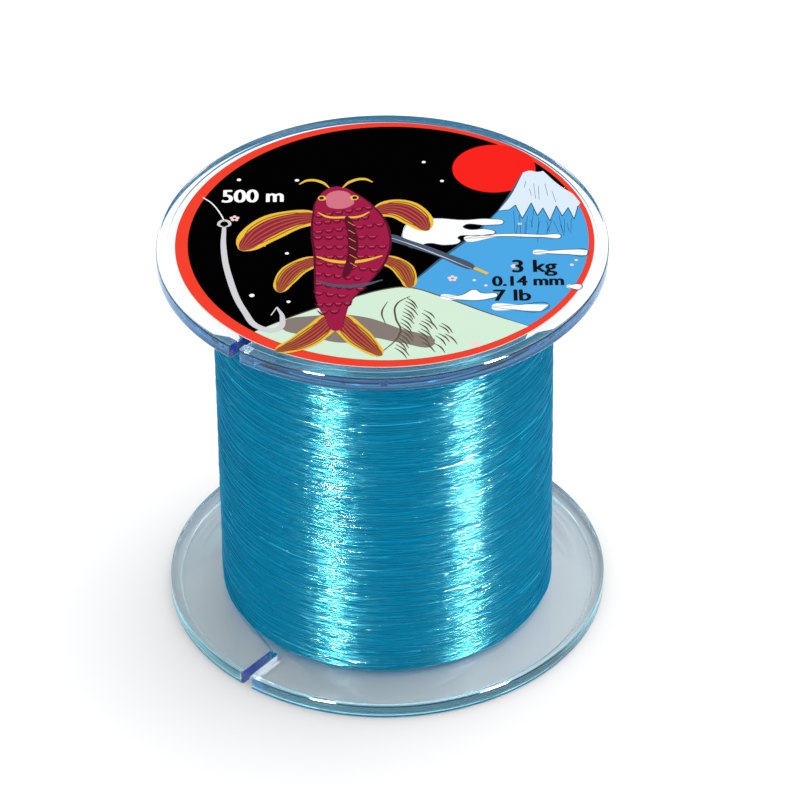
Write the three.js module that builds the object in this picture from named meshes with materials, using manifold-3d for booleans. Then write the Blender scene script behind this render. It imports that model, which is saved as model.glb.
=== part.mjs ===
// A clear plastic spool of fishing line, standing on its lower flange.
// Millimetres, +Z up. The origin is the centre of the rim that the spool stands on.
// Two clear halves meet at mid height. Each is a flange, half of the drum, half of the
// shaft tube and four stiffening ribs, moulded in one piece.

import * as THREE from 'three';
import { mergeVertices } from 'three/addons/utils/BufferGeometryUtils.js';
import Module from 'manifold-3d';

// Overall size
const overallHeight = 62.9;
const flangeRadius = 33;

// Flanges: a flat inner face, and a rim standing proud of the outer face around the label
const flangeThickness = 2.3;
const rimWidth = 1.6;
const recessDepth = 0.3;
const rimRounding = 0.35;

// Drum and shaft tube
const drumRadius = 23.7;
const drumWall = 1.6;
const boreRadius = 5;
const boreChamfer = 0.5;
const shaftTubeWall = 1.6;

// Stiffening ribs between the shaft tube and the drum
const ribCount = 4;
const ribThickness = 1.2;
const ribSetback = 7;
const ribEmbed = 0.4;

// Joint between the halves: a spigot inside the lower drum wall enters the upper one
const spigotHeight = 4;
const spigotWall = 0.75;
const jointClearance = 0.05;

// Slit that catches the line's free end, one in each flange
const slitAzimuth = THREE.MathUtils.degToRad(-130);
const slitWidth = 1.5;
const slitSetback = 1.35;
const slitEndRounding = 0.35;
const slitMouthRounding = 0.6;

// Line
const lineLength = 500000;
const lineDiameter = 0.14;
const gaugeDiameter = 0.148;
const windingDensity = 0.7;
const windingClearance = 0.12;
const windingEndClearance = 0.05;

// The line's free end, from the winding into the slit
const freeEndLead = THREE.MathUtils.degToRad(11);
const freeEndGap = 0.1;
const freeEndBend = 0.35;
const freeEndShare = 0.6; // of the slit's length

// Tape that holds the line's inner end on the drum
const tapeLength = 14;
const tapeWidth = 8;
const tapeThickness = 0.06;
const tapeGap = 0.03;
const tapeAzimuth = THREE.MathUtils.degToRad(35);

// Label, stuck on a little off centre within the recess
const labelGap = 0.8;
const labelThickness = 0.12;
const labelGlue = 0.02;
const labelOffset = [0.35, 0.5];

// Smoothness
const turnSegments = 96;
const roundingSegments = 3;
const lineSides = 8;
const lineSteps = 36;
const tapeSegments = 8;

// Sizes that follow from the ones above
const midHeight = overallHeight / 2;
const recessRadius = flangeRadius - rimWidth;
const labelRadius = recessRadius - labelGap;
const drumInnerRadius = drumRadius - drumWall;
const shaftTubeRadius = boreRadius + shaftTubeWall;
const windingWidth = overallHeight - 2 * flangeThickness;
const lineVolume = lineLength * Math.PI * (gaugeDiameter / 2) ** 2;
const windingRadius = Math.sqrt(
  drumRadius ** 2 + lineVolume / (Math.PI * windingWidth * windingDensity),
);
const slitInnerRadius = windingRadius + slitSetback;

const wasm = await Module();
wasm.setup();

// Solids and meshes

function solid(geometry) {
  geometry.deleteAttribute('normal');
  geometry.deleteAttribute('uv');
  const merged = mergeVertices(geometry, 1e-5);
  return new wasm.Manifold(new wasm.Mesh({
    numProp: 3,
    vertProperties: new Float32Array(merged.attributes.position.array),
    triVerts: new Uint32Array(merged.index.array),
  }));
}

function mesh(name, body, material) {
  const { vertProperties, triVerts } = body.getMesh();
  const geometry = new THREE.BufferGeometry();
  geometry.setAttribute('position', new THREE.BufferAttribute(vertProperties, 3));
  geometry.setIndex(new THREE.BufferAttribute(triVerts, 1));
  geometry.computeVertexNormals();
  const result = new THREE.Mesh(geometry, material);
  result.name = name;
  return result;
}

// Turns a profile of [radius, height] points about the vertical axis. A closed profile runs
// outwards along its underside and back inwards along its top.
function turned(profile) {
  const points = profile.map(([radius, height]) => new THREE.Vector2(radius, height));
  return solid(new THREE.LatheGeometry(points, turnSegments).rotateX(Math.PI / 2));
}

function upright(shape, depth, curveSegments) {
  return new THREE.ExtrudeGeometry(shape, { depth, bevelEnabled: false, curveSegments });
}

// Points of a quarter round about a centre, starting at an angle in degrees
function quarterRound(radius, height, rounding, startDegrees) {
  return Array.from({ length: roundingSegments + 1 }, (_, i) => {
    const angle = THREE.MathUtils.degToRad(startDegrees + (90 * i) / roundingSegments);
    return [radius + rounding * Math.cos(angle), height + rounding * Math.sin(angle)];
  });
}

// Spool halves

// The section of a half that stands on its flange, as a closed profile. The joint points are
// those that differ between the two halves.
function halfProfile(jointPoints) {
  return [
    [boreRadius + boreChamfer, recessDepth],
    [recessRadius, recessDepth],
    [recessRadius, 0],
    ...quarterRound(flangeRadius - rimRounding, rimRounding, rimRounding, -90),
    ...quarterRound(flangeRadius - rimRounding, flangeThickness - rimRounding, rimRounding, 0),
    [drumRadius, flangeThickness],
    ...jointPoints,
    [drumInnerRadius, flangeThickness],
    [shaftTubeRadius, flangeThickness],
    [shaftTubeRadius, midHeight - jointClearance],
    [boreRadius, midHeight - jointClearance],
    [boreRadius, recessDepth + boreChamfer],
    [boreRadius + boreChamfer, recessDepth],
  ];
}

const spigotRadius = drumInnerRadius + spigotWall;
const spigotPoints = [
  [drumRadius, midHeight - jointClearance],
  [spigotRadius, midHeight - jointClearance],
  [spigotRadius, midHeight + spigotHeight],
  [drumInnerRadius, midHeight + spigotHeight],
];
const socketRadius = spigotRadius + jointClearance;
const socketPoints = [
  [drumRadius, midHeight - jointClearance],
  [socketRadius, midHeight - jointClearance],
  [socketRadius, midHeight - spigotHeight - jointClearance],
  [drumInnerRadius, midHeight - spigotHeight - jointClearance],
];

function ribs() {
  const inner = shaftTubeRadius - ribEmbed;
  const outer = drumInnerRadius + ribEmbed;
  const bottom = flangeThickness - ribEmbed;
  const top = midHeight - ribSetback;
  return Array.from({ length: ribCount }, (_, i) => solid(
    new THREE.BoxGeometry(outer - inner, ribThickness, top - bottom)
      .translate((inner + outer) / 2, 0, (bottom + top) / 2)
      .rotateZ((2 * Math.PI * i) / ribCount),
  ));
}

// The slit runs out along +X before it is turned to its place. Its blind end has rounded
// corners, and its mouth opens in two rounds at the rim.
function slit() {
  const half = slitWidth / 2;
  const inner = slitInnerRadius;
  const mouth = flangeRadius - slitMouthRounding;
  const past = flangeRadius + slitMouthRounding;
  const shape = new THREE.Shape();
  shape.moveTo(inner + slitEndRounding, -half);
  shape.lineTo(mouth, -half);
  shape.absarc(mouth, -half - slitMouthRounding, slitMouthRounding, Math.PI / 2, 0, true);
  shape.lineTo(past, -half - slitMouthRounding);
  shape.lineTo(past, half + slitMouthRounding);
  shape.lineTo(flangeRadius, half + slitMouthRounding);
  shape.absarc(mouth, half + slitMouthRounding, slitMouthRounding, 0, -Math.PI / 2, true);
  shape.lineTo(inner + slitEndRounding, half);
  shape.absarc(inner + slitEndRounding, half - slitEndRounding, slitEndRounding,
    Math.PI / 2, Math.PI, false);
  shape.absarc(inner + slitEndRounding, slitEndRounding - half, slitEndRounding,
    Math.PI, (3 * Math.PI) / 2, false);
  return solid(upright(shape, 3 * flangeThickness, roundingSegments)
    .translate(0, 0, -flangeThickness)
    .rotateZ(slitAzimuth));
}

function lowerHalf(jointPoints) {
  return ribs()
    .reduce((body, rib) => body.add(rib), turned(halfProfile(jointPoints)))
    .subtract(slit());
}

// The upper half is the lower one's mirror image with a socket in place of the spigot.
function upperHalf() {
  return lowerHalf(socketPoints).mirror([0, 0, 1]).translate([0, 0, overallHeight]);
}

// Line

function winding() {
  const bottom = flangeThickness + windingEndClearance;
  const top = overallHeight - flangeThickness - windingEndClearance;
  const inner = drumRadius + windingClearance;
  return turned([
    [inner, bottom],
    [windingRadius, bottom],
    [windingRadius, top],
    [inner, top],
    [inner, bottom],
  ]);
}

function at(radius, azimuth, height) {
  return new THREE.Vector3(radius * Math.cos(azimuth), radius * Math.sin(azimuth), height);
}

// Straight runs between the corners, with a smooth bend at each
function bentPath(corners, bend) {
  const path = new THREE.CurvePath();
  let from = corners[0];
  for (let i = 1; i < corners.length - 1; i += 1) {
    const corner = corners[i];
    const inwards = corners[i - 1].clone().sub(corner).setLength(bend).add(corner);
    const outwards = corners[i + 1].clone().sub(corner).setLength(bend).add(corner);
    path.add(new THREE.LineCurve3(from, inwards));
    path.add(new THREE.QuadraticBezierCurve3(inwards, corner, outwards));
    from = outwards;
  }
  path.add(new THREE.LineCurve3(from, corners.at(-1)));
  return path;
}

// The free end leaves the winding just above the lower flange, crosses to the slit's blind
// end, goes down into it and ends part of the way along it.
function freeEnd() {
  const lineRadius = lineDiameter / 2;
  const above = flangeThickness + freeEndGap + lineRadius;
  const within = flangeThickness / 2;
  const down = slitInnerRadius + freeEndGap + lineRadius;
  const tip = slitInnerRadius + freeEndShare * (flangeRadius - slitInnerRadius);
  const route = bentPath([
    at(windingRadius + freeEndGap + lineRadius, slitAzimuth - freeEndLead, above + freeEndBend),
    at(down, slitAzimuth, above),
    at(down, slitAzimuth, within),
    at(tip, slitAzimuth, within),
  ], freeEndBend);
  const section = new THREE.Shape();
  section.absarc(0, 0, lineRadius, 0, 2 * Math.PI, false);
  return solid(new THREE.ExtrudeGeometry(section, {
    steps: lineSteps,
    curveSegments: lineSides / 2,
    bevelEnabled: false,
    extrudePath: route,
  }));
}

// A strip curved round the drum under the first turns
function startTape() {
  const inner = drumRadius + tapeGap;
  const halfAngle = tapeLength / inner / 2;
  const shape = new THREE.Shape();
  shape.absarc(0, 0, inner + tapeThickness, -halfAngle, halfAngle, false);
  shape.absarc(0, 0, inner, halfAngle, -halfAngle, true);
  return solid(upright(shape, tapeWidth, tapeSegments)
    .translate(0, 0, flangeThickness + tapeWidth)
    .rotateZ(tapeAzimuth));
}

// Label

function topLabel() {
  const bottom = overallHeight - recessDepth + labelGlue;
  return turned([
    [0, bottom],
    [labelRadius, bottom],
    [labelRadius, bottom + labelThickness],
    [0, bottom + labelThickness],
  ]).translate([...labelOffset, 0]);
}

// Materials

const clearPlastic = new THREE.MeshStandardMaterial({
  color: 0xdfe9f0, roughness: 0.05, metalness: 0, transparent: true, opacity: 0.35,
});
const blueLine = new THREE.MeshStandardMaterial({ color: 0x02759a, roughness: 0.3, metalness: 0 });
const whiteTape = new THREE.MeshStandardMaterial({ color: 0xf0efe8, roughness: 0.6, metalness: 0 });
const printedLabel = new THREE.MeshStandardMaterial({ color: 0xeb4333, roughness: 0.35, metalness: 0 });

const spool = new THREE.Group();
spool.add(
  mesh('spool_lower_half', lowerHalf(spigotPoints), clearPlastic),
  mesh('spool_upper_half', upperHalf(), clearPlastic),
  mesh('wound_line', winding(), blueLine),
  mesh('line_free_end', freeEnd(), blueLine),
  mesh('line_start_tape', startTape(), whiteTape),
  mesh('top_label', topLabel(), printedLabel),
);

export default spool;
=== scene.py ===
import math
import random

import bmesh
import bpy
from mathutils import Matrix, Vector, noise


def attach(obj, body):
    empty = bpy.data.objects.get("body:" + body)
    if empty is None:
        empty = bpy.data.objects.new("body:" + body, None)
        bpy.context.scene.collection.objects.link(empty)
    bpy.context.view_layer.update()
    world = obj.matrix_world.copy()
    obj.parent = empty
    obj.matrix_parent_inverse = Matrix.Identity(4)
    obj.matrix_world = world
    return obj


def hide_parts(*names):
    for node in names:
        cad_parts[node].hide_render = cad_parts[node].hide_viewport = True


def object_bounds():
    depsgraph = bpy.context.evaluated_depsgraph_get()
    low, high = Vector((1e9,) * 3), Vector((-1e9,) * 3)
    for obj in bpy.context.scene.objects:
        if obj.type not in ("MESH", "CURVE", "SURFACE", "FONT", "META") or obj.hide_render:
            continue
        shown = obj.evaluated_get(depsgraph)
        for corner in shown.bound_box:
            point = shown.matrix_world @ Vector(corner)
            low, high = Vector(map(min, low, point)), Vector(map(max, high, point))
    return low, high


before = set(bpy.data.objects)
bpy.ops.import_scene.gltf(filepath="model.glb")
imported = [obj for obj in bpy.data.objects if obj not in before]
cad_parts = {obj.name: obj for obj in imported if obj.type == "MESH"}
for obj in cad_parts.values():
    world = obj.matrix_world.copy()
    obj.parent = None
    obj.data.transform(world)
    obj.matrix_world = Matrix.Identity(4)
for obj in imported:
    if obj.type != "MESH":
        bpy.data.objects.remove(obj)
cad_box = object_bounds()

# The setting: a pale sweep of paper under soft light, seen from the front and well above,
# with a long lens. Two tall soft lamps stand left and right of the camera and put the two
# bright bands on the wound line.
mm = 0.001
spool_height = cad_box[1][2]

look_down = math.radians(37.3)
camera_distance = 792 * mm
camera_lean = math.radians(-0.768)
camera_aside, camera_above = 2.27 * mm, 2.0 * mm
sensor_width, long_lens = 36, 239
clear_bounces, all_bounces = 40, 48
paper_size, paper_drop = 3.0, 0.02 * mm
room_light, mirror_dimming = 1.12, 0.76

backward = Vector((0, -math.cos(look_down), math.sin(look_down)))
upward = Vector((0, math.sin(look_down), math.cos(look_down)))
rightward = Vector((1, 0, 0))
spool_middle = Vector((0, 0, spool_height / 2))

camera = bpy.data.objects.new("camera", bpy.data.cameras.new("camera"))
camera.data.sensor_width = sensor_width
camera.data.lens = long_lens
camera.matrix_world = (
    Matrix.Translation(
        spool_middle
        + backward * camera_distance
        + rightward * camera_aside
        + upward * camera_above
    )
    @ Matrix((rightward, upward, backward)).transposed().to_4x4()
    @ Matrix.Rotation(camera_lean, 4, "Z")
)
bpy.context.scene.collection.objects.link(camera)
bpy.context.scene.camera = camera
bpy.context.scene.view_settings.view_transform = "Standard"
bpy.context.scene.cycles.glossy_bounces = clear_bounces
bpy.context.scene.cycles.transmission_bounces = clear_bounces
bpy.context.scene.cycles.max_bounces = all_bounces


class Shade:
    """A value in a material's nodes. Sums on it add their Math nodes."""

    def __init__(self, tree, socket=None):
        self.tree, self.socket = tree, socket

    def node(self, kind, settings=None, inputs=None, out=0):
        made = self.tree.nodes.new(kind)
        for name, value in (settings or {}).items():
            setattr(made, name, value)
        for name, value in (inputs or {}).items():
            if isinstance(value, Shade):
                self.tree.links.new(value.socket, made.inputs[name])
            else:
                made.inputs[name].default_value = value
        return Shade(self.tree, made.outputs[out])

    def math(self, operation, first, second):
        return self.node("ShaderNodeMath", {"operation": operation}, {0: first, 1: second})

    def __add__(self, other):
        return self.math("ADD", self, other)

    __radd__ = __add__

    def __sub__(self, other):
        return self.math("SUBTRACT", self, other)

    def __rsub__(self, other):
        return self.math("SUBTRACT", other, self)

    def __mul__(self, other):
        return self.math("MULTIPLY", self, other)

    __rmul__ = __mul__

    def between(self, first, second):
        """The first colour where this value is 0 and the second where it is 1."""
        return self.node(
            "ShaderNodeMix", {"data_type": "RGBA"}, {0: self, 6: first, 7: second}, out=2
        )


def new_material(name):
    """A material with an empty tree, and the Shade its nodes are made from."""
    material = bpy.data.materials.new(name)
    material.use_nodes = True
    material.node_tree.nodes.clear()
    return material, Shade(material.node_tree)


def shown(shade, shader, filling=None):
    """Sends a shader, and if given what fills the piece, to the material's output."""
    output = shade.tree.nodes.new("ShaderNodeOutputMaterial")
    shade.tree.links.new(shader.socket, output.inputs["Surface"])
    if filling is not None:
        shade.tree.links.new(filling.socket, output.inputs["Volume"])


def object_place(shade):
    return shade.node("ShaderNodeTexCoord", out="Object")


def speckle(shade, size, detail=2.0):
    """Soft noise whose patches are about that size across."""
    return shade.node(
        "ShaderNodeTexNoise",
        None,
        {"Vector": object_place(shade), "Scale": 1 / size, "Detail": detail},
        out="Fac",
    )


def bumped(shade, height, depth):
    return shade.node(
        "ShaderNodeBump", None, {"Height": height, "Distance": depth, "Strength": 1.0}
    )


def new_object(name, mesh):
    made = bpy.data.objects.new(name, mesh)
    bpy.context.scene.collection.objects.link(made)
    return made


def finished_mesh(name, shape, sharp=None, materials=()):
    """Writes a bmesh out, smooth but for the edges that turn more than the given angle."""
    for face in shape.faces:
        face.smooth = True
    if sharp is not None:
        for edge in shape.edges:
            edge.smooth = edge.calc_face_angle(0) < sharp
    mesh = bpy.data.meshes.new(name)
    shape.to_mesh(mesh)
    shape.free()
    for material in materials:
        mesh.materials.append(material)
    return mesh


paper, shade = new_material("backdrop_paper")
shown(
    shade,
    shade.node(
        "ShaderNodeBsdfPrincipled",
        None,
        {
            "Base Color": speckle(shade, 90 * mm).between(
                (0.90, 0.895, 0.90, 1), (0.93, 0.925, 0.93, 1)
            ),
            "Roughness": 0.9,
            "Specular IOR Level": 0.0,
        },
    ),
)
sweep = bmesh.new()
bmesh.ops.create_grid(sweep, x_segments=12, y_segments=12, size=paper_size)
bmesh.ops.translate(sweep, verts=sweep.verts, vec=(0, 0, -paper_drop))
floor = new_object("floor", finished_mesh("floor", sweep, materials=[paper]))

# Only the room's mirror reflections are dimmed. What shows through the plastic isn't.
sky = bpy.data.worlds.new("studio")
sky.use_nodes = True
sky.node_tree.nodes["Background"].inputs["Color"].default_value = (1.0, 0.985, 0.968, 1)
light = Shade(sky.node_tree)
glossy = light.node("ShaderNodeLightPath", out="Is Glossy Ray")
through = light.node("ShaderNodeLightPath", out="Is Transmission Ray")
sky.node_tree.links.new(
    (room_light - glossy * (1.0 - through) * mirror_dimming).socket,
    sky.node_tree.nodes["Background"].inputs["Strength"],
)
sky.cycles.sampling_method = "NONE"
bpy.context.scene.world = sky


def soft_lamp(name, azimuth, elevation, distance, width, height, power, band=False):
    """An area lamp aimed at the spool. A band lamp lights no matt surface."""
    lamp = bpy.data.lights.new(name, "AREA")
    lamp.shape = "RECTANGLE"
    lamp.size, lamp.size_y, lamp.energy = width, height, power
    stand = bpy.data.objects.new(name, lamp)
    azimuth, elevation = math.radians(azimuth), math.radians(elevation)
    away = Vector(
        (
            math.cos(elevation) * math.cos(azimuth),
            math.cos(elevation) * math.sin(azimuth),
            math.sin(elevation),
        )
    )
    stand.location = spool_middle + away * distance
    stand.rotation_euler = away.to_track_quat("Z", "Y").to_euler()
    stand.visible_transmission = False
    stand.visible_diffuse = not band
    if band:
        lamp.use_nodes = True
        tree = lamp.node_tree
        direct = Shade(tree).node("ShaderNodeLightPath", out="Diffuse Depth")
        direct = direct.math("LESS_THAN", direct, 0.5)
        tree.links.new(direct.socket, tree.nodes["Emission"].inputs["Strength"])
    bpy.context.scene.collection.objects.link(stand)


soft_lamp(
    "overhead_lamp", azimuth=42, elevation=58, distance=1.4, width=1.6, height=1.6, power=9.0
)
for side, azimuth, width, power in (("left", -126, 0.13, 1130.0), ("right", -32, 0.12, 1110.0)):
    soft_lamp(f"{side}_band_lamp", azimuth, 37, 1.1, width, 0.42, power, band=True)

# The lower half of the spool: flange, drum wall, shaft tube and four ribs in one piece of
# clear polystyrene, injection moulded. A spigot at the top of the drum wall plugs into the
# upper half, and a slit in the rim nips the free end of the line.
flange_radius, flange_thickness = 33.0 * mm, 2.3 * mm
rim_width, rim_rounding, recess_depth = 1.6 * mm, 0.35 * mm, 0.3 * mm
recess_radius = flange_radius - rim_width
drum_radius, drum_inner_radius = 23.7 * mm, 22.1 * mm
bore_radius, bore_chamfer, tube_radius = 5.0 * mm, 0.5 * mm, 6.6 * mm
joint_gap = 0.05 * mm
joint_height = spool_height / 2 - joint_gap
spigot_top, spigot_radius = spool_height / 2 + 4.0 * mm, drum_inner_radius + 0.75 * mm
rib_thickness, rib_top, rib_embed = 1.2 * mm, spool_height / 2 - 7.0 * mm, 0.4 * mm
slit_azimuth, slit_width = math.radians(-130), 1.5 * mm
slit_start, slit_corner, slit_mouth = 26.426 * mm, 0.35 * mm, 0.6 * mm
moulding_steps = 240
slit_face, rim_face = 1, 2


def clear_plastic(name, tint, frost=0.0):
    """Clear moulded plastic, lightly rubbed, that lets the lamps through to what it holds."""
    material, shade = new_material(name)
    rub = speckle(shade, 1.6 * mm, 4.0)
    flow = speckle(shade, 14 * mm, 1.0)
    plastic = shade.node(
        "ShaderNodeBsdfPrincipled",
        None,
        {
            "Base Color": tint,
            "Roughness": rub * (0.02 + frost) + 0.01,
            "IOR": 1.58,
            "Transmission Weight": 1.0,
            "Normal": bumped(shade, flow + rub * 0.02, 0.012 * mm),
        },
    )
    clear = shade.node("ShaderNodeBsdfTransparent", None, {"Color": (0.95, 0.965, 0.975, 1)})
    lamp_ray = shade.node("ShaderNodeLightPath", out="Is Shadow Ray")
    depth = shade.node(
        "ShaderNodeVolumeAbsorption", None, {"Color": (0.04, 0.56, 0.86, 1), "Density": 26.0}
    )
    shown(
        shade,
        shade.node("ShaderNodeMixShader", None, {0: lamp_ray, 1: plastic, 2: clear}),
        depth,
    )
    return material


def rounded(radius, height, rounding, start, count=5):
    """Points of a quarter round about a centre."""
    turn = [math.radians(start + 90 * i / count) for i in range(count + 1)]
    return [
        (radius + rounding * math.cos(a), height + rounding * math.sin(a)) for a in turn
    ]


def turned(profile, steps):
    """Turns a closed outline of (radius, height) points about the upright axis."""
    shape = bmesh.new()
    corners = [shape.verts.new((radius, 0, height)) for radius, height in profile]
    for first, second in zip(corners, corners[1:] + corners[:1]):
        shape.edges.new((first, second))
    bmesh.ops.spin(
        shape,
        geom=shape.verts[:] + shape.edges[:],
        cent=(0, 0, 0),
        axis=(0, 0, 1),
        angle=2 * math.pi,
        steps=steps,
        use_merge=True,
    )
    bmesh.ops.remove_doubles(shape, verts=shape.verts, dist=1e-7)
    bmesh.ops.recalc_face_normals(shape, faces=shape.faces)
    return shape


def half_outline(joint):
    """The section of a half standing on its flange."""
    ease = 0.06 * mm
    edge = flange_radius - rim_rounding
    return (
        [
            (bore_radius + bore_chamfer, recess_depth),
            (recess_radius - ease, recess_depth),
            (recess_radius - 0.02 * mm, recess_depth - 0.02 * mm),
            (recess_radius, ease),
            (recess_radius + 0.02 * mm, 0.012 * mm),
            (recess_radius + ease, 0),
            (edge - ease, 0),
        ]
        + rounded(edge, rim_rounding, rim_rounding, -90)
        + [(flange_radius, rim_rounding + ease)]
        + [(flange_radius, flange_thickness - rim_rounding - ease)]
        + rounded(edge, flange_thickness - rim_rounding, rim_rounding, 0)
        + [(edge - ease, flange_thickness), (drum_radius, flange_thickness)]
        + joint
        + [
            (drum_inner_radius, flange_thickness),
            (tube_radius, flange_thickness),
            (tube_radius, joint_height),
            (bore_radius, joint_height),
            (bore_radius, recess_depth + bore_chamfer),
        ]
    )


def slit_cutter():
    """The slit's outline, raised to go through the flange and turned to its place."""
    half = slit_width / 2
    mouth = flange_radius - slit_mouth
    corner_points = rounded(slit_start + slit_corner, half - slit_corner, slit_corner, 90)
    lip_points = rounded(mouth, half + slit_mouth, slit_mouth, -90)
    side = corner_points[::-1] + lip_points + [(flange_radius + slit_mouth, half + slit_mouth)]
    outline = side + [(x, -y) for x, y in side[::-1]]
    cutter = bmesh.new()
    base = cutter.faces.new([cutter.verts.new((x, y, -1 * mm)) for x, y in outline])
    raised = bmesh.ops.extrude_face_region(cutter, geom=[base])["geom"]
    bmesh.ops.translate(
        cutter,
        verts=[v for v in raised if isinstance(v, bmesh.types.BMVert)],
        vec=(0, 0, flange_thickness + 2 * mm),
    )
    bmesh.ops.remove_doubles(cutter, verts=cutter.verts, dist=1e-7)
    bmesh.ops.recalc_face_normals(cutter, faces=cutter.faces)
    bmesh.ops.rotate(
        cutter,
        verts=cutter.verts,
        cent=(0, 0, 0),
        matrix=Matrix.Rotation(slit_azimuth, 3, "Z"),
    )
    return cutter


def rib(turn):
    inner, outer = tube_radius - rib_embed, drum_inner_radius + rib_embed
    bottom = flange_thickness - rib_embed
    blade = bmesh.new()
    bmesh.ops.create_cube(
        blade,
        size=1.0,
        matrix=Matrix.Rotation(turn, 4, "Z")
        @ Matrix.Translation(((inner + outer) / 2, 0, (bottom + rib_top) / 2))
        @ Matrix.Diagonal((outer - inner, rib_thickness, rib_top - bottom, 1)),
    )
    return blade


def combined(body, steps):
    """The body with each shape joined to it or cut from it."""
    whole = new_object("whole", finished_mesh("whole", body))
    helpers = []
    for shape, operation in steps:
        helper = new_object("helper", finished_mesh("helper", shape))
        step = whole.modifiers.new("step", "BOOLEAN")
        step.object, step.operation, step.solver = helper, operation, "EXACT"
        helpers.append(helper)
    bpy.context.view_layer.update()
    mesh = bpy.data.meshes.new_from_object(
        whole.evaluated_get(bpy.context.evaluated_depsgraph_get())
    )
    for helper in helpers + [whole]:
        bpy.data.objects.remove(helper)
    result = bmesh.new()
    result.from_mesh(mesh)
    bpy.data.meshes.remove(mesh)
    bmesh.ops.remove_doubles(result, verts=result.verts, dist=1e-7)
    return result


def half_shape(joint):
    """A half on its flange, with its rim set apart for its painted blue and its slit's walls for
    their frosted finish.
    """
    ribs = [(rib(math.pi / 2 * i), "UNION") for i in range(4)]
    shape = combined(
        turned(half_outline(joint), moulding_steps), ribs + [(slit_cutter(), "DIFFERENCE")]
    )
    toward_slit = Vector((math.cos(slit_azimuth), math.sin(slit_azimuth), 0))
    for face in shape.faces:
        middle = face.calc_center_median()
        if middle.xy.length > flange_radius - rim_rounding and abs(face.normal.z) < 0.8:
            face.material_index = rim_face
        beside = abs(middle.cross(toward_slit).z)
        in_slit = middle.dot(toward_slit) > slit_start and beside < slit_width / 2 + slit_mouth
        if in_slit and abs(face.normal.dot(toward_slit.cross((0, 0, 1)))) > 0.3:
            face.material_index = slit_face
    return shape


lower_plastic = clear_plastic("clear_plastic_lower", (0.972, 0.988, 0.996, 1))
slit_plastic = clear_plastic("clear_plastic_frosted", (0.99, 0.985, 1.0, 1), frost=0.34)
# The rim is tinted a strong blue: painted colour standing for the blue of the wound line carried
# round inside the clear rim.
painted_blue_rim_plastic = clear_plastic("clear_plastic_rim_painted_blue", (0.2, 0.9, 1.0, 1))
spigot = [
    (drum_radius, joint_height),
    (spigot_radius, joint_height),
    (spigot_radius, spigot_top),
    (drum_inner_radius, spigot_top),
]
lower_half = new_object(
    "clear_lower_half",
    finished_mesh(
        "clear_lower_half",
        half_shape(spigot),
        math.radians(31),
        [lower_plastic, slit_plastic, painted_blue_rim_plastic],
    ),
)
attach(lower_half, "root")
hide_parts("spool_lower_half")

# The upper half of the spool: the same moulding turned over, of the same clear plastic,
# with a socket in its drum wall that fits over the lower half's spigot.
socket_radius, socket_depth = spigot_radius + joint_gap, 4.05 * mm
upper_plastic = clear_plastic("clear_plastic_upper", (0.975, 0.99, 0.997, 1))
socket = [
    (drum_radius, joint_height),
    (socket_radius, joint_height),
    (socket_radius, spool_height / 2 - socket_depth),
    (drum_inner_radius, spool_height / 2 - socket_depth),
]
upper_shape = half_shape(socket)
bmesh.ops.scale(upper_shape, verts=upper_shape.verts, vec=(1, 1, -1))
bmesh.ops.translate(upper_shape, verts=upper_shape.verts, vec=(0, 0, spool_height))
bmesh.ops.reverse_faces(upper_shape, faces=upper_shape.faces)
upper_half = new_object(
    "clear_upper_half",
    finished_mesh(
        "clear_upper_half",
        upper_shape,
        math.radians(31),
        [upper_plastic, slit_plastic, painted_blue_rim_plastic],
    ),
)
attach(upper_half, "root")
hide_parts("spool_upper_half")

# The wound line: 500 m of 0.14 mm blue nylon, laid on the drum by a traversing guide. The
# turns underneath are one solid body here, with the ridges of the turns at both its ends.
# Over it lie the turns that show, first side by side and then crossing at small angles.
line_radius = 0.07 * mm
winding_bottom, winding_top = 2.35 * mm, spool_height - 2.35 * mm
winding_inner, winding_radius = 23.82 * mm, 25.0756 * mm
turn_steps, line_sides = 96, 5
swell_height = 0.012 * mm


def nylon(
    name, colour, roughness, level=0.05, tint=(0.18, 0.95, 1.0, 1), leans=0.3, glow=0.12
):
    """Blue nylon line, drawn smooth: a dark body under a bright blue-tinted gloss.
    Each turn leans its own way along its run, so the gloss breaks into short strokes."""
    material, shade = new_material(name)
    drawn = speckle(shade, 0.9 * mm, 3.0)
    cloud = speckle(shade, 7 * mm, 2.0)
    runs = shade.node(
        "ShaderNodeTexNoise",
        None,
        {
            "Vector": shade.node(
                "ShaderNodeMapping",
                None,
                {"Vector": object_place(shade), "Scale": (1.0, 1.0, 17.0)},
            ),
            "Scale": 1 / (2.6 * mm),
            "Detail": 2.0,
        },
    )
    facing = shade.node("ShaderNodeNewGeometry", out="Normal")
    along = shade.node(
        "ShaderNodeVectorMath", {"operation": "CROSS_PRODUCT"}, {0: (0, 0, 1), 1: facing}
    )
    lean = shade.node(
        "ShaderNodeVectorMath", {"operation": "SCALE"}, {0: along, "Scale": (runs - 0.5) * leans}
    )
    leaning = shade.node("ShaderNodeVectorMath", {"operation": "ADD"}, {0: facing, 1: lean})
    shown(
        shade,
        shade.node(
            "ShaderNodeBsdfPrincipled",
            None,
            {
                "Base Color": colour,
                "Roughness": drawn * 0.08 + cloud * 0.05 + (roughness - 0.065),
                "IOR": 1.53,
                "Specular IOR Level": level,
                "Specular Tint": tint,
                "Sheen Weight": level * 3,
                "Sheen Roughness": 0.3,
                "Sheen Tint": (0.0, 0.8, 1.0, 1),
                # The emission is a painted glow: the line is no lamp, and this light stands for
                # light passing through the translucent nylon and lifts its shade.
                "Emission Color": (0.0, 0.36, 0.60, 1),
                "Emission Strength": glow,
                "Normal": shade.node(
                    "ShaderNodeVectorMath", {"operation": "NORMALIZE"}, {0: leaning}
                ),
            },
        ),
    )
    return material


# The fourth finish is a painted glint: a much lighter blue, laid on short runs of a turn, standing
# for spots where a strand catches the light.
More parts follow.
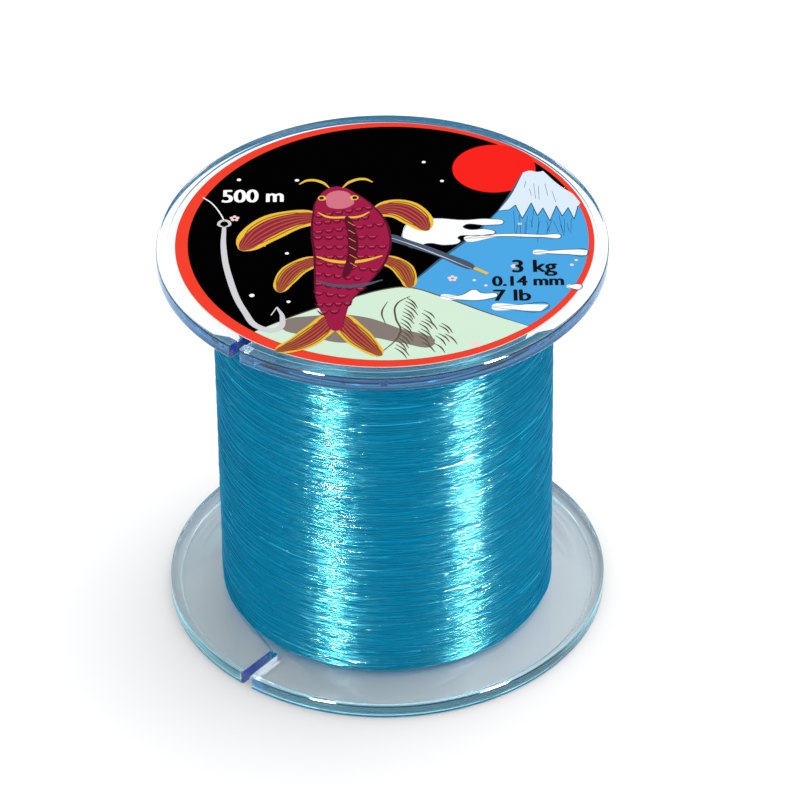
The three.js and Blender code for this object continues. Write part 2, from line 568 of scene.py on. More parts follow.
line_finishes = [
    nylon("nylon_mid", (0.0, 0.165, 0.32, 1), 0.19, level=0.055, leans=0.32),
    nylon("nylon_deep", (0.0, 0.13, 0.265, 1), 0.26, level=0.05, leans=0.32),
    nylon("nylon_light", (0.0, 0.205, 0.38, 1), 0.13, 0.065, (0.5, 1.0, 1.0, 1), 0.6),
    nylon("nylon_painted_glint", (0.01, 0.48, 0.72, 1), 0.14, 0.09, (0.8, 1.0, 1.0, 1), 1.3),
]
# The turns under the ones that show glow brightly: a painted glow standing for light that comes
# through the translucent turns, seen in the gaps between them.
painted_glow_nylon = nylon("nylon_painted_glow", (0.0, 0.2, 0.38, 1), 0.2, glow=0.8)


def start_ring(shape, rise, radius, height):
    """A small ring of line standing at the winding's azimuth 0."""
    ring = bmesh.ops.create_circle(
        shape,
        segments=line_sides,
        radius=line_radius,
        matrix=Matrix.Translation((radius, 0, height)) @ Matrix.Rotation(math.pi / 2, 4, "X"),
    )["verts"]
    for point in ring:
        point[rise] = point.co.z - height


def wound_turns(name, radius, first, pitch, turns, seed, drift, wander, lift=0.0):
    """Turns of line wound as one screw, folded back where it meets a flange."""
    shape = bmesh.new()
    rise = shape.verts.layers.float.new("rise")
    for turn in range(turns):
        start_ring(shape, rise, radius, first + turn * pitch)
    bmesh.ops.spin(
        shape,
        geom=shape.verts[:] + shape.edges[:],
        cent=(0, 0, 0),
        axis=(0, 0, 1),
        dvec=(0, 0, pitch / turn_steps),
        angle=2 * math.pi,
        steps=turn_steps,
        use_merge=False,
    )
    bmesh.ops.remove_doubles(shape, verts=shape.verts, dist=1e-6)
    ends = [edge for edge in shape.edges if edge.is_boundary]
    bmesh.ops.holes_fill(shape, edges=ends)
    bmesh.ops.recalc_face_normals(shape, faces=shape.faces)
    low, high = winding_bottom + 2 * line_radius, winding_top - 2 * line_radius
    span = high - low
    chance = random.Random(seed)
    shades, runs = [], 18
    while len(shades) < turns * runs:
        # Finish 3, the painted glint, goes on runs of only one or two steps, and the others go on
        # longer runs.
        shade = chance.choices((0, 1, 2, 3), (9, 8, 5, 1))[0]
        shades += [shade] * (chance.randint(1, 2) if shade == 3 else chance.randint(2, 12))
    for face in shape.faces:
        point = face.verts[0]
        place = (point.co.z - point[rise] - first) / pitch * runs
        face.material_index = shades[int(place) % len(shades)]
    for point in shape.verts:
        centre = point.co.z - point[rise]
        away = math.hypot(point.co.x, point.co.y)
        ux, uy = point.co.x / away, point.co.y / away
        length = (centre - first) / pitch
        fold = ((centre - low) / span) % 2
        number = int((centre - low) // span)
        centre = low + span * (fold if fold <= 1 else 2 - fold)
        shift = (
            noise.noise((ux * 10.5 + seed, uy * 10.5, centre / (1.1 * mm))) * drift
            + noise.noise((length * 17.0, seed * 3.7, 0.0)) * wander
        )
        swell = noise.noise((ux * 5 + seed, uy * 5, centre / (5 * mm))) * swell_height
        centre = min(max(centre + shift, winding_bottom + line_radius), winding_top - line_radius)
        out = 1 + (swell + number * lift) / away
        point.co = (point.co.x * out, point.co.y * out, centre + point[rise])
    return new_object(name, finished_mesh(name, shape, materials=line_finishes))


core_rim = 24.72 * mm
end_press = 0.062 * mm
ridges, ridge_depth = 8, 0.05 * mm
ridge_step = (core_rim - winding_inner) / ridges


def ridged_end(height, outward):
    """Points across the winding's end face, one bump for each layer of turns."""
    points = []
    for ridge in range(ridges):
        for share, bulge in ((0.0, 0.0), (0.2, 0.75), (0.5, 1.0), (0.8, 0.75)):
            points.append(
                (
                    winding_inner + (ridge + share) * ridge_step,
                    height + outward * (bulge - 1.0) * ridge_depth,
                )
            )
    return points + [(core_rim, height - outward * ridge_depth)]


inner_turns = new_object(
    "line_inner_turns",
    finished_mesh(
        "line_inner_turns",
        turned(
            ridged_end(winding_bottom - end_press, -1)
            + ridged_end(winding_top + end_press, 1)[::-1],
            turn_steps * 2,
        ),
        math.radians(60),
        [painted_glow_nylon],
    ),
)
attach(inner_turns, "root")
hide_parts("wound_line")

side_by_side = 3
turns_each = 138
closest = (winding_top - winding_bottom - 2 * line_radius) / (side_by_side * turns_each)
layers = [
    wound_turns(
        f"line_even_turns_{part + 1}",
        radius=24.80 * mm,
        first=winding_bottom + line_radius + part * turns_each * closest,
        pitch=closest,
        turns=turns_each,
        seed=11,
        drift=0.08 * mm,
        wander=0.05 * mm,
    )
    for part in range(side_by_side)
]
layers.append(
    wound_turns(
        "line_crossing_turns",
        radius=24.90 * mm,
        first=winding_bottom + 2 * line_radius,
        pitch=3.37 * mm,
        turns=180,
        seed=23,
        drift=0.15 * mm,
        wander=0.16 * mm,
        lift=0.004 * mm,
    )
)
layers.append(
    wound_turns(
        "line_top_turns",
        radius=24.965 * mm,
        first=winding_bottom + 2 * line_radius,
        pitch=7.9 * mm,
        turns=110,
        seed=37,
        drift=0.18 * mm,
        wander=0.22 * mm,
        lift=0.001 * mm,
    )
)
for layer in layers:
    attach(layer, "root")
    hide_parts("wound_line")

# A few turns that the guide laid badly lie steeper than the rest over the winding, and one
# of them ends in a cut tip that has sprung a little clear.
stray_turns = bmesh.new()
chance = random.Random(5)
strays = [(-99.0, 26.0, 43.3, 41.6, True)]
for _ in range(34):
    strays.append(
        (
            chance.uniform(-180, 180),
            chance.uniform(35, 120),
            chance.uniform(6, 56),
            chance.choice((-1, 1)) * chance.uniform(3.0, 9.0),
            False,
        )
    )
for azimuth, sweep, start, climb, is_tip in strays:
    height = start * mm
    rise_to = (climb - start) * mm if is_tip else climb * mm * sweep / 90
    lowest, highest = winding_bottom + 0.4 * mm, winding_top - 0.4 * mm
    rise_to = min(max(height + rise_to, lowest), highest) - height
    strand = bmesh.new()
    steps = max(12, round(sweep / 3))
    ring = bmesh.ops.create_circle(
        strand,
        segments=line_sides,
        radius=line_radius,
        matrix=Matrix.Translation((winding_radius - line_radius, 0, height))
        @ Matrix.Rotation(math.pi / 2, 4, "X"),
    )["verts"]
    bmesh.ops.spin(
        strand,
        geom=ring + strand.edges[:],
        cent=(0, 0, 0),
        axis=(0, 0, 1),
        dvec=(0, 0, rise_to / steps),
        angle=math.radians(sweep),
        steps=steps,
        use_merge=False,
    )
    bmesh.ops.holes_fill(strand, edges=[e for e in strand.edges if e.is_boundary])
    for point in strand.verts:
        share = math.atan2(point.co.y, point.co.x) % (2 * math.pi) / math.radians(sweep)
        share = min(share, 1.0)
        sunk = max(0.0, 1 - share / 0.25, 0.0 if is_tip else (share - 0.75) / 0.25)
        away = math.hypot(point.co.x, point.co.y)
        out = 1 - 0.16 * mm * sunk**2 / away
        point.co = (point.co.x * out, point.co.y * out, point.co.z)
    bmesh.ops.rotate(
        strand,
        verts=strand.verts,
        cent=(0, 0, 0),
        matrix=Matrix.Rotation(math.radians(azimuth), 3, "Z"),
    )
    bmesh.ops.recalc_face_normals(strand, faces=strand.faces)
    piece = bpy.data.meshes.new("strand")
    strand.to_mesh(piece)
    strand.free()
    stray_turns.from_mesh(piece)
    bpy.data.meshes.remove(piece)
for face in stray_turns.faces:
    face.material_index = 1
loose_turns = new_object(
    "line_stray_turns",
    finished_mesh(
        "line_stray_turns", stray_turns, materials=[line_finishes[0], line_finishes[2]]
    ),
)
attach(loose_turns, "root")
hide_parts("wound_line")

# The line's free end: it leaves the winding low on the left, crosses the lower flange,
# turns down into the slit and is nipped there, so it can't unwind.
free_route = [
    (25.02, -188.0, 7.6),
    (25.03, -178.0, 6.3),
    (25.05, -168.0, 5.1),
    (25.08, -158.0, 4.1),
    (25.12, -149.0, 3.3),
    (25.26, -141.0, 2.72),
    (25.80, -135.5, 2.50),
    (26.42, -131.2, 2.45),
    (26.62, -130.0, 2.30),
    (26.68, -130.0, 1.90),
    (26.80, -130.0, 1.35),
    (27.20, -130.0, 1.15),
    (28.60, -130.1, 1.12),
    (30.37, -129.9, 1.15),
]
route = bpy.data.curves.new("free_end_route", "CURVE")
route.dimensions = "3D"
route.bevel_depth = line_radius
route.bevel_resolution = 3
route.use_fill_caps = True
route.resolution_u = 8
path = route.splines.new("BEZIER")
path.bezier_points.add(len(free_route) - 1)
for knot, (away, azimuth, height) in zip(path.bezier_points, free_route):
    azimuth = math.radians(azimuth)
    knot.co = (away * mm * math.cos(azimuth), away * mm * math.sin(azimuth), height * mm)
    knot.handle_left_type = knot.handle_right_type = "AUTO"
free_curve = new_object("free_end_route", route)
bpy.context.view_layer.update()
free_shape = bmesh.new()
free_mesh = bpy.data.meshes.new_from_object(
    free_curve.evaluated_get(bpy.context.evaluated_depsgraph_get())
)
free_shape.from_mesh(free_mesh)
bpy.data.meshes.remove(free_mesh)
bpy.data.objects.remove(free_curve)
bmesh.ops.remove_doubles(free_shape, verts=free_shape.verts, dist=1e-7)
bmesh.ops.recalc_face_normals(free_shape, faces=free_shape.faces)
free_end = new_object(
    "line_free_end_run",
    finished_mesh("line_free_end_run", free_shape, math.radians(50), [line_finishes[1]]),
)
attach(free_end, "root")
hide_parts("line_free_end")

# The tape that holds the line's inner end to the drum: white film with a matt backing,
# pressed round the drum under the first turns. Only its shape matters, so the solid stays.
tape_film, shade = new_material("tape_film")
fibres = shade.node(
    "ShaderNodeTexNoise",
    None,
    {
        "Vector": shade.node(
            "ShaderNodeMapping",
            None,
            {"Vector": object_place(shade), "Scale": (1.0, 1.0, 6.0)},
        ),
        "Scale": 1 / (0.8 * mm),
        "Detail": 4.0,
    },
)
shown(
    shade,
    shade.node(
        "ShaderNodeBsdfPrincipled",
        None,
        {
            "Base Color": fibres.between((0.84, 0.83, 0.79, 1), (0.93, 0.92, 0.89, 1)),
            "Roughness": fibres * 0.2 + 0.5,
            "Normal": bumped(shade, fibres, 0.01 * mm),
        },
    ),
)
tape_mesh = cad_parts["line_start_tape"].data
tape_mesh.materials.clear()
tape_mesh.materials.append(tape_film)

# The label: a film disc with a glossy varnish, printed in flat inks and stuck a little off
# centre in the upper flange's recess. It shows a carp over a hill, with a peak and a low
# red sun behind it, a hook on the left and a quill float on the right.
label_radius, label_thickness = 30.6 * mm, 0.12 * mm
label_middle = Vector((0.35 * mm, 0.5 * mm, 0))
label_bottom = spool_height - recess_depth + 0.02 * mm
label_top = label_bottom + label_thickness
print_middle, print_radius = Vector((0.026, 0.021)), 0.885
ink_step = 0.012 * mm


def ink(name, colour, gloss=0.004, mottle=0.06):
    """Flat printing ink, a little uneven, under thin varnish."""
    material, shade = new_material(name)
    grain = speckle(shade, 0.25 * mm, 3.0)
    wash = speckle(shade, 6 * mm, 2.0)
    darker = tuple(c * (1 - mottle) for c in colour[:3]) + (1,)
    shown(
        shade,
        shade.node(
            "ShaderNodeBsdfPrincipled",
            None,
            {
                "Base Color": (grain * 0.5 + wash * 0.5).between(darker, colour),
                "Roughness": grain * 0.12 + 0.42,
                "Specular IOR Level": gloss,
                "Normal": bumped(shade, grain, 0.003 * mm),
            },
        ),
    )
    return material


ink_colours = {
    "film_white": (0.703, 0.703, 0.694, 1),
    "ring_red": (0.678, 0.037, 0.018, 1),
    "night": (0.0005, 0.0005, 0.0007, 1),
    "sun_red": (0.703, 0.0098, 0.0066, 1),
    "sea": (0.051, 0.294, 0.596, 1),
    "snow": (0.539, 0.637, 0.735, 1),
    "hill": (0.49, 0.645, 0.523, 1),
    "hill_shadow": (0.18, 0.151, 0.135, 1),
    "hill_line": (0.082, 0.061, 0.041, 1),
    "cloud": (0.76, 0.76, 0.768, 1),
    "rock": (0.029, 0.082, 0.139, 1),
    "crimson": (0.261, 0.0066, 0.045, 1),
    "deep_crimson": (0.082, 0.0025, 0.0163, 1),
    "rose": (0.49, 0.131, 0.18, 1),
    "gold": (0.637, 0.408, 0.025, 1),
    "bronze": (0.245, 0.106, 0.0098, 1),
    "slate": (0.049, 0.074, 0.123, 1),
    "silver": (0.49, 0.49, 0.523, 1),
    "petal": (0.735, 0.507, 0.507, 1),
    "black": (0.0032, 0.0032, 0.0041, 1),
}
ink_names = list(ink_colours)
inks = [
    ink(f"ink_{name}", colour, gloss=0.0 if name == "night" else 0.004)
    for name, colour in ink_colours.items()
]
printing = bmesh.new()


def add_print(mesh, colour, level, flatten=1.0):
    """Adds a patch drawn in units of the flange's radius to the print, in one ink."""
    inked = bmesh.new()
    inked.from_mesh(mesh)
    bpy.data.meshes.remove(mesh)
    bmesh.ops.remove_doubles(inked, verts=inked.verts, dist=1e-5)
    bmesh.ops.transform(
        inked,
        verts=inked.verts,
        matrix=Matrix.Translation((0, 0, label_top + level * ink_step))
        @ Matrix.Diagonal((flange_radius, flange_radius, flange_radius * flatten, 1)),
    )
    bmesh.ops.recalc_face_normals(inked, faces=inked.faces)
    for face in inked.faces:
        face.material_index = ink_names.index(colour)
    flat = bpy.data.meshes.new("patch")
    inked.to_mesh(flat)
    inked.free()
    printing.from_mesh(flat)
    bpy.data.meshes.remove(flat)


def drawn(curve):
    """The mesh of a curve or a text."""
    holder = new_object("drawn", curve)
    bpy.context.view_layer.update()
    mesh = bpy.data.meshes.new_from_object(
        holder.evaluated_get(bpy.context.evaluated_depsgraph_get())
    )
    bpy.data.objects.remove(holder)
    bpy.data.curves.remove(curve)
    return mesh


def patch(outlines, colour, level):
    """A flat patch inside closed outlines. A point with a third value is a corner."""
    curve = bpy.data.curves.new("patch", "CURVE")
    curve.dimensions, curve.fill_mode, curve.resolution_u = "2D", "BOTH", 6
    curve.extrude = 0.5 * ink_step / flange_radius
    for outline in outlines:
        loop = curve.splines.new("BEZIER")
        loop.use_cyclic_u = True
        loop.bezier_points.add(len(outline) - 1)
        for knot, point in zip(loop.bezier_points, outline):
            knot.co = (point[0], point[1], 0)
            kind = "VECTOR" if len(point) > 2 else "AUTO"
            knot.handle_left_type = knot.handle_right_type = kind
    add_print(drawn(curve), colour, level)


def strokes(paths, colour, level, width):
    """Brush strokes that thin out at both ends."""
    curve = bpy.data.curves.new("strokes", "CURVE")
    curve.dimensions, curve.resolution_u = "3D", 6
    curve.bevel_depth, curve.bevel_resolution, curve.use_fill_caps = width, 1, True
    for path in paths:
        line = curve.splines.new("BEZIER")
        line.bezier_points.add(len(path) - 1)
        for place, (knot, point) in enumerate(zip(line.bezier_points, path)):
            knot.co = (point[0], point[1], 0)
            knot.handle_left_type = knot.handle_right_type = "AUTO"
            ends = place in (0, len(path) - 1)
            knot.radius = (0.35 if ends else 1.0) if len(point) < 3 else point[2]
    add_print(drawn(curve), colour, level, flatten=0.5 * ink_step / (width * flange_radius))


def spot(x, y, radius, colour, level, segments=24):
    disc = bmesh.new()
    base = bmesh.ops.create_circle(
        disc, cap_ends=True, segments=segments, radius=radius, matrix=Matrix.Translation((x, y, 0))
    )["verts"]
    raised = bmesh.ops.extrude_face_region(disc, geom=disc.faces[:])["geom"]
    bmesh.ops.translate(
        disc,
        verts=[v for v in raised if isinstance(v, bmesh.types.BMVert)],
        vec=(0, 0, 0.5 * ink_step / flange_radius),
    )
    bmesh.ops.translate(disc, verts=base, vec=(0, 0, -0.5 * ink_step / flange_radius))
    mesh = bpy.data.meshes.new("spot")
    disc.to_mesh(mesh)
    disc.free()
    add_print(mesh, colour, level)


def print_edge(start, end, count=20):
    """Points round the edge of the printed disc between two angles in degrees."""
    points = []
    for step in range(count + 1):
        angle = math.radians(start + (end - start) * step / count)
        points.append(
            (
                print_middle.x + print_radius * math.cos(angle),
                print_middle.y + print_radius * math.sin(angle),
            )
        )
    points[0] += ("corner",)
    points[-1] += ("corner",)
    return points


def leaf(path):
    """A closed outline round a bent middle line of (x, y, half width) points."""
    left, right = [], []
    for place, (x, y, half) in enumerate(path):
        before, after = path[max(place - 1, 0)], path[min(place + 1, len(path) - 1)]
        along = Vector((after[0] - before[0], after[1] - before[1])).normalized()
        left.append((x - along.y * half, y + along.x * half))
        right.append((x + along.y * half, y - along.x * half))
    return left + right[::-1]


sheet = bmesh.new()
bmesh.ops.create_circle(sheet, cap_ends=True, segments=240, radius=label_radius)
raised = bmesh.ops.extrude_face_region(sheet, geom=sheet.faces[:])["geom"]
bmesh.ops.translate(
    sheet,
    verts=[v for v in raised if isinstance(v, bmesh.types.BMVert)],
    vec=(0, 0, label_thickness),
)
bmesh.ops.recalc_face_normals(sheet, faces=sheet.faces)
bmesh.ops.bevel(
    sheet,
    geom=[e for e in sheet.edges if e.calc_face_angle(0) > 1],
    offset=0.03 * mm,
    segments=2,
    profile=0.5,
    affect="EDGES",
    material=-1,
)
bmesh.ops.translate(sheet, verts=sheet.verts, vec=label_middle + Vector((0, 0, label_bottom)))
label_sheet = new_object(
    "label_sheet",
    finished_mesh("label_sheet", sheet, math.radians(50), [inks[0]]),
)
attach(label_sheet, "root")
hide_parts("top_label")

# Ring, sky, sun, peak and sea
ring_middle = label_middle / flange_radius
ring_radius = (label_radius - 0.06 * mm) / flange_radius
spot(ring_middle.x, ring_middle.y, ring_radius, "ring_red", -0.2, 240)
spot(print_middle.x, print_middle.y, print_radius, "night", 0.4, 240)
spot(0.505, 0.562, 0.187, "sun_red", 1.4, 96)
left_slope = [(0.10, -0.34, "c"), (0.27, -0.11), (0.41, 0.06), (0.50, 0.20), (0.57, 0.35)]
peak = [(0.632, 0.525, "c"), (0.665, 0.54), (0.70, 0.53), (0.725, 0.537, "c")]
right_slope = [(0.79, 0.43), (0.853, 0.355, "c")]
patch([left_slope + peak + right_slope + print_edge(21.4, -50)[1:]], "sea", 2.4)
snow_edge = [
    (0.872, 0.262, "c"),
    (0.852, 0.16, "c"),
    (0.828, 0.25, "c"),
    (0.800, 0.185, "c"),
    (0.776, 0.265, "c"),
    (0.744, 0.15, "c"),
    (0.716, 0.25, "c"),
    (0.690, 0.19, "c"),
    (0.665, 0.29, "c"),
    (0.622, 0.17, "c"),
    (0.594, 0.275, "c"),
    (0.568, 0.24, "c"),
    (0.515, 0.23, "c"),
]
cap = [(0.57, 0.35)] + peak + right_slope + [(0.884, 0.285, "c")] + snow_edge
patch([cap], "snow", 3.4)
strokes(
    [[(a[0], a[1]), (b[0], b[1])] for a, b in zip(snow_edge, snow_edge[1:])]
    + [
        [(0.515, 0.23), (0.57, 0.35), (0.632, 0.525)],
        [(0.10, -0.34), (0.27, -0.11), (0.41, 0.06), (0.515, 0.23)],
    ],
    "rock",
    4.4,
    0.006,
)
cracks = random.Random(3)
strokes(
    [
        [(x, y), (x + cracks.uniform(-0.02, 0.02), y - cracks.uniform(0.05, 0.13))]
        for x, y in [
            (0.60, 0.12), (0.635, 0.14), (0.66, 0.16), (0.70, 0.15), (0.735, 0.11),
            (0.76, 0.15), (0.79, 0.12), (0.82, 0.13), (0.68, 0.44), (0.70, 0.42), (0.66, 0.40),
            (0.73, 0.44), (0.645, 0.46), (0.76, 0.38),
        ]
    ]
    + [
        [
            (x, y),
            (x + cracks.uniform(-0.03, 0.015), y - cracks.uniform(0.07, 0.19)),
        ]
        for x, y in [(0.585, 0.235), (0.61, 0.20), (0.645, 0.19), (0.695, 0.175), (0.73, 0.15),
                     (0.755, 0.165), (0.785, 0.19), (0.808, 0.165), (0.84, 0.17), (0.675, 0.24)]
    ],
    "rock",
    4.4,
    0.0028,
)

# Hill, its folds and the carp's shadow
hill = [
    (-0.555, -0.645, "c"), (-0.36, -0.52), (-0.14, -0.41), (0.02, -0.345), (0.10, -0.335),
    (0.26, -0.41), (0.45, -0.53), (0.63, -0.632, "c"),
]
patch([hill + print_edge(-47.2, -130.8)[1:]], "hill", 3.4)
strokes([[p[:2] for p in hill]], "hill_line", 4.4, 0.0035)
patch(
    [[(-0.44, -0.60), (-0.28, -0.535), (-0.10, -0.545), (0.06, -0.63), (0.22, -0.755),
      (0.06, -0.735), (-0.06, -0.70), (-0.16, -0.735), (-0.30, -0.69)]],
    "hill_shadow", 4.4,
)
folds = random.Random(8)
fold_lines = [[(0.12, -0.40), (0.06, -0.46), (0.055, -0.56), (0.075, -0.66), (-0.03, -0.84)]]
fold_lines.append([(0.02, -0.44), (-0.005, -0.52), (0.01, -0.60)])
for row in range(15):
    start = Vector((0.085 - 0.004 * row, -0.40 - 0.026 * row))
    reach = 0.28 * folds.uniform(0.75, 1.0)
    for part in range(3):
        a = start + Vector((reach * (0.08 + 0.33 * part), -reach * (0.05 + 0.42 * part)))
        b = a + Vector((reach * 0.21, -reach * folds.uniform(0.26, 0.36)))
        if b.length < 0.86:
            middle = ((a.x + b.x) / 2 + 0.006, (a.y + b.y) / 2 + 0.004)
            fold_lines.append([(a.x, a.y), middle, (b.x, b.y)])
strokes(fold_lines, "hill_line", 5.0, 0.0042)

# Clouds, drifting petals
clouds = [
    [(0.09, 0.08), (0.13, 0.165), (0.24, 0.18), (0.36, 0.165), (0.48, 0.17), (0.54, 0.145),
     (0.47, 0.122), (0.36, 0.118), (0.37, 0.098), (0.47, 0.09), (0.50, 0.066), (0.40, 0.045),
     (0.335, 0.035), (0.345, 0.0), (0.28, -0.025), (0.2, -0.01), (0.14, -0.045), (0.10, -0.01)],
    [(0.36, 0.02), (0.52, 0.035), (0.70, 0.025), (0.79, 0.03), (0.70, 0.045), (0.52, 0.055),
     (0.44, 0.045)],
    [(0.66, -0.088), (0.75, -0.076), (0.84, -0.07), (0.903, -0.078, "c"), (0.897, -0.115, "c"),
     (0.82, -0.108), (0.74, -0.10)],
    [(0.25, -0.405), (0.34, -0.40), (0.40, -0.36), (0.43, -0.385), (0.50, -0.40),
     (0.46, -0.43), (0.34, -0.435)],
    [(0.47, -0.49), (0.60, -0.475), (0.72, -0.478, "c"), (0.685, -0.525, "c"), (0.58, -0.515)],
    [(0.80, -0.345), (0.835, -0.33), (0.868, -0.335, "c"), (0.857, -0.37, "c"), (0.83, -0.365)],
]
for cloud in clouds:
    patch([cloud], "cloud", 4.6)
    strokes([[p[:2] for p in cloud] + [cloud[0][:2]]], "rock", 5.2, 0.0022)
petals = [
    (-0.64, 0.50, 0.010), (-0.38, 0.49, 0.010), (0.27, 0.47, 0.009), (0.19, 0.62, 0.009),
    (0.13, 0.29, 0.010), (-0.42, -0.07, 0.009), (-0.52, -0.01, 0.006), (-0.57, -0.38, 0.012),
    (-0.41, -0.43, 0.009), (-0.27, -0.39, 0.009), (-0.18, -0.37, 0.007),
]
pink_petals = [
    (0.575, -0.19, 0.014), (0.83, -0.185, 0.009), (0.85, -0.15, 0.008), (0.40, -0.29, 0.008),
    (0.45, -0.33, 0.008), (0.61, 0.13, 0.009),
]
for x, y, radius in petals:
    spot(x, y, radius, "cloud", 1.6, 12)
for x, y, radius in pink_petals:
    spot(x, y, radius, "petal", 3.4, 12)
for x, y in [(-0.655, 0.20), (0.305, -0.275), (0.40, -0.76)]:
    for lobe in range(5):
        turn = math.radians(90 + 72 * lobe)
        spot(x + 0.014 * math.cos(turn), y + 0.014 * math.sin(turn), 0.0085, "petal", 3.8, 10)

# The carp, seen from above as it swims up the picture
body = [
    (-0.205, 0.43, 0.02), (-0.20, 0.36, 0.085), (-0.17, 0.24, 0.135), (-0.14, 0.08, 0.165),
    (-0.14, -0.10, 0.155), (-0.18, -0.28, 0.115), (-0.215, -0.44, 0.07), (-0.205, -0.57, 0.036),
    (-0.203, -0.645, 0.014),
]
fins = [
    [(-0.28, 0.20, 0.03), (-0.40, 0.18, 0.075), (-0.53, 0.09, 0.085), (-0.62, -0.04, 0.02)],
    [(-0.03, 0.24, 0.03), (0.06, 0.26, 0.07), (0.15, 0.19, 0.07), (0.20, 0.09, 0.015)],
    [(-0.27, -0.12, 0.02), (-0.37, -0.18, 0.05), (-0.43, -0.28, 0.045), (-0.45, -0.36, 0.01)],
    [(-0.01, -0.12, 0.02), (0.07, -0.17, 0.045), (0.11, -0.26, 0.04), (0.12, -0.34, 0.01)],
    [(-0.21, -0.54, 0.025), (-0.29, -0.66, 0.06), (-0.37, -0.74, 0.05), (-0.46, -0.79, 0.01)],
    [(-0.20, -0.54, 0.025), (-0.13, -0.66, 0.06), (-0.07, -0.75, 0.05), (-0.01, -0.83, 0.01)],
]
for fin in fins:
    patch([leaf(fin)], "gold", 5.6)
    inner = [(x, y, half * 0.62) for x, y, half in fin]
    patch([leaf(inner)], "crimson", 6.2)
    rays = []
    for share in (-0.75, -0.45, -0.15, 0.15, 0.45, 0.75):
        outline = leaf([(x, y, half * abs(share)) for x, y, half in fin])
        side = outline[: len(fin)] if share > 0 else outline[len(fin):][::-1]
        rays.append(side)
    strokes(rays, "bronze", 6.8, 0.0035)
patch([leaf([(x, y, half * 1.07) for x, y, half in body])], "deep_crimson", 6.6)
patch([leaf(body)], "crimson", 7.2)
scales, glints = [], []
for row in range(15):
    share = (row + 1.6) / 17 * (len(body) - 2)
    index = min(int(share), len(body) - 2)
    part = share - index
    a, b = body[index], body[index + 1]
    x, y, half = (a[i] + (b[i] - a[i]) * part for i in range(3))
    along = Vector((b[0] - a[0], b[1] - a[1])).normalized()
    across = Vector((along.y, -along.x))
    count = max(2, round(half / 0.026))
    if y > 0.27:
        continue
    for place in range(count + row % 2):
        offset = place + 0.5 * (1 - row % 2) + 0.5 - count / 2 - 0.5 * (row % 2)
        offset = offset * 2 / count * 0.88
        if abs(offset) > 0.93:
            continue
        centre = Vector((x, y)) + across * offset * half
        wide = across * (half / count) * 0.9
        tip = along * 0.030
        left, low, right = centre - wide, centre + tip, centre + wide
        scales.append([(left.x, left.y), (low.x, low.y), (right.x, right.y)])
        near = centre + along * 0.012
        half_wide = wide * 0.5
        glints.append([tuple(near - half_wide), tuple(near + half_wide)])
strokes(scales, "deep_crimson", 7.8, 0.0050)
strokes(glints, "rose", 7.8, 0.0032)
back_fin = [
    (-0.157, 0.20, 0.006), (-0.132, 0.06, 0.021), (-0.134, -0.10, 0.021), (-0.167, -0.26, 0.006)
]
patch([leaf(back_fin)], "deep_crimson", 8.4)
strokes(
    [
        [(-0.152 + 0.002 * i, 0.16 - 0.062 * i), (-0.122 + 0.002 * i, 0.130 - 0.062 * i)]
        for i in range(6)
    ],
    "gold", 9.0, 0.0036,
)
patch([leaf([(-0.20, 0.39, 0.035), (-0.19, 0.33, 0.06), (-0.18, 0.28, 0.05)])], "rose", 7.8)
for side in (-1, 1):
    spot(-0.195 + side * 0.072, 0.345, 0.019, "gold", 8.4, 16)
    spot(-0.195 + side * 0.074, 0.345, 0.011, "black", 9.0, 16)
strokes(
    [
        [(-0.235, 0.425), (-0.27, 0.47), (-0.33, 0.485), (-0.37, 0.455)],
        [(-0.175, 0.425), (-0.14, 0.47), (-0.08, 0.49), (-0.04, 0.465)],
    ],
    "gold", 8.4, 0.0085,
)
strokes(
    [[(-0.285, 0.235), (-0.24, 0.20), (-0.17, 0.195), (-0.10, 0.20), (-0.055, 0.235)]],
    "gold", 8.4, 0.007,
)
for share, colour in ((-0.12, "gold"), (-0.30, "slate")):
    stripe = [
        (-0.29, share + 0.02), (-0.22, share - 0.015), (-0.15, share - 0.025),
        (-0.08, share - 0.015), (0.0, share + 0.02),
    ]
    strokes([stripe], colour, 8.2, 0.010)

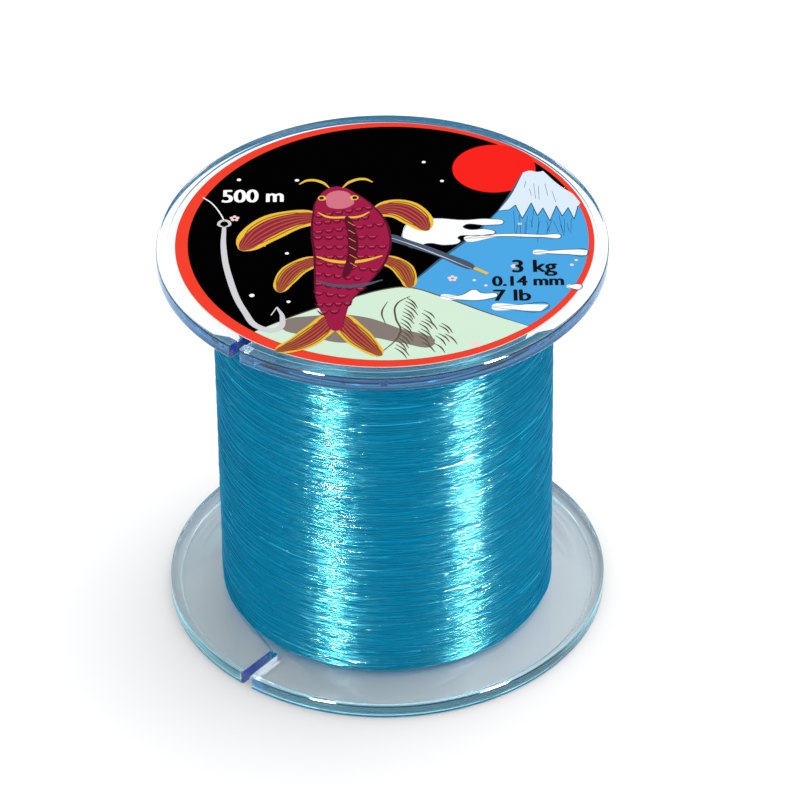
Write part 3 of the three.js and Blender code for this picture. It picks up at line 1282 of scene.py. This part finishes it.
# A hook on its line at the left, and a quill float at the right
hook = [
    (-0.70, 0.13, 0.7), (-0.70, -0.02, 1.0), (-0.67, -0.25, 1.1), (-0.60, -0.50, 1.1),
    (-0.53, -0.62, 1.2), (-0.455, -0.63, 1.1), (-0.435, -0.55, 0.9), (-0.46, -0.47, 0.3),
]
barb = [(-0.46, -0.47), (-0.485, -0.53)]
eye = [(-0.70, 0.13), (-0.725, 0.155), (-0.70, 0.185), (-0.675, 0.155), (-0.70, 0.13)]
snell = [(-0.70, 0.18, 1.0), (-0.72, 0.24, 1.0), (-0.76, 0.32, 1.0), (-0.80, 0.365, 1.0)]
quill = [(0.02, 0.05, 0.010), (0.12, -0.01, 0.022), (0.25, -0.09, 0.020), (0.40, -0.20, 0.010)]
quill_tip = [(0.40, -0.20, 1.0), (0.46, -0.245, 1.0)]
quill_shine = [(0.03, 0.04), (0.13, -0.02), (0.26, -0.11), (0.39, -0.205)]
strokes([hook], "silver", 5.6, 0.013)
strokes([barb], "silver", 5.6, 0.008)
strokes([eye], "silver", 5.6, 0.007)
strokes([snell], "cloud", 5.6, 0.003)
patch([leaf(quill)], "slate", 6.2)
strokes([quill_tip], "gold", 6.4, 0.009)
strokes([quill_shine], "silver", 6.9, 0.003)


def figures(body, x, y, height, colour, level, width):
    """Plain figures for the line's length and thickness, printed three times to be bold."""
    for step, (aside, above) in enumerate(((0, 0), (0.0035, 0.002), (0.007, 0))):
        text = bpy.data.curves.new("figures", "FONT")
        text.body, text.size = body, height * 1.38
        text.extrude, text.align_x = 0.5 * ink_step / flange_radius, "LEFT"
        mesh = drawn(text)
        mesh.transform(
            Matrix.Translation((x + aside, y + above, 0)) @ Matrix.Diagonal((width, 1, 1, 1))
        )
        add_print(mesh, colour, level + 0.15 * step)


figures("500 m", -0.72, 0.325, 0.100, "cloud", 1.8, 0.80)
figures("0.14 mm", 0.475, -0.335, 0.075, "black", 4.2, 0.86)
figures("3 kg", 0.56, -0.235, 0.095, "black", 4.2, 0.9)
figures("7 lb", 0.475, -0.445, 0.085, "black", 4.2, 0.95)

label_print = new_object(
    "label_print", finished_mesh("label_print", printing, math.radians(30), inks)
)
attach(label_print, "root")
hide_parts("top_label")
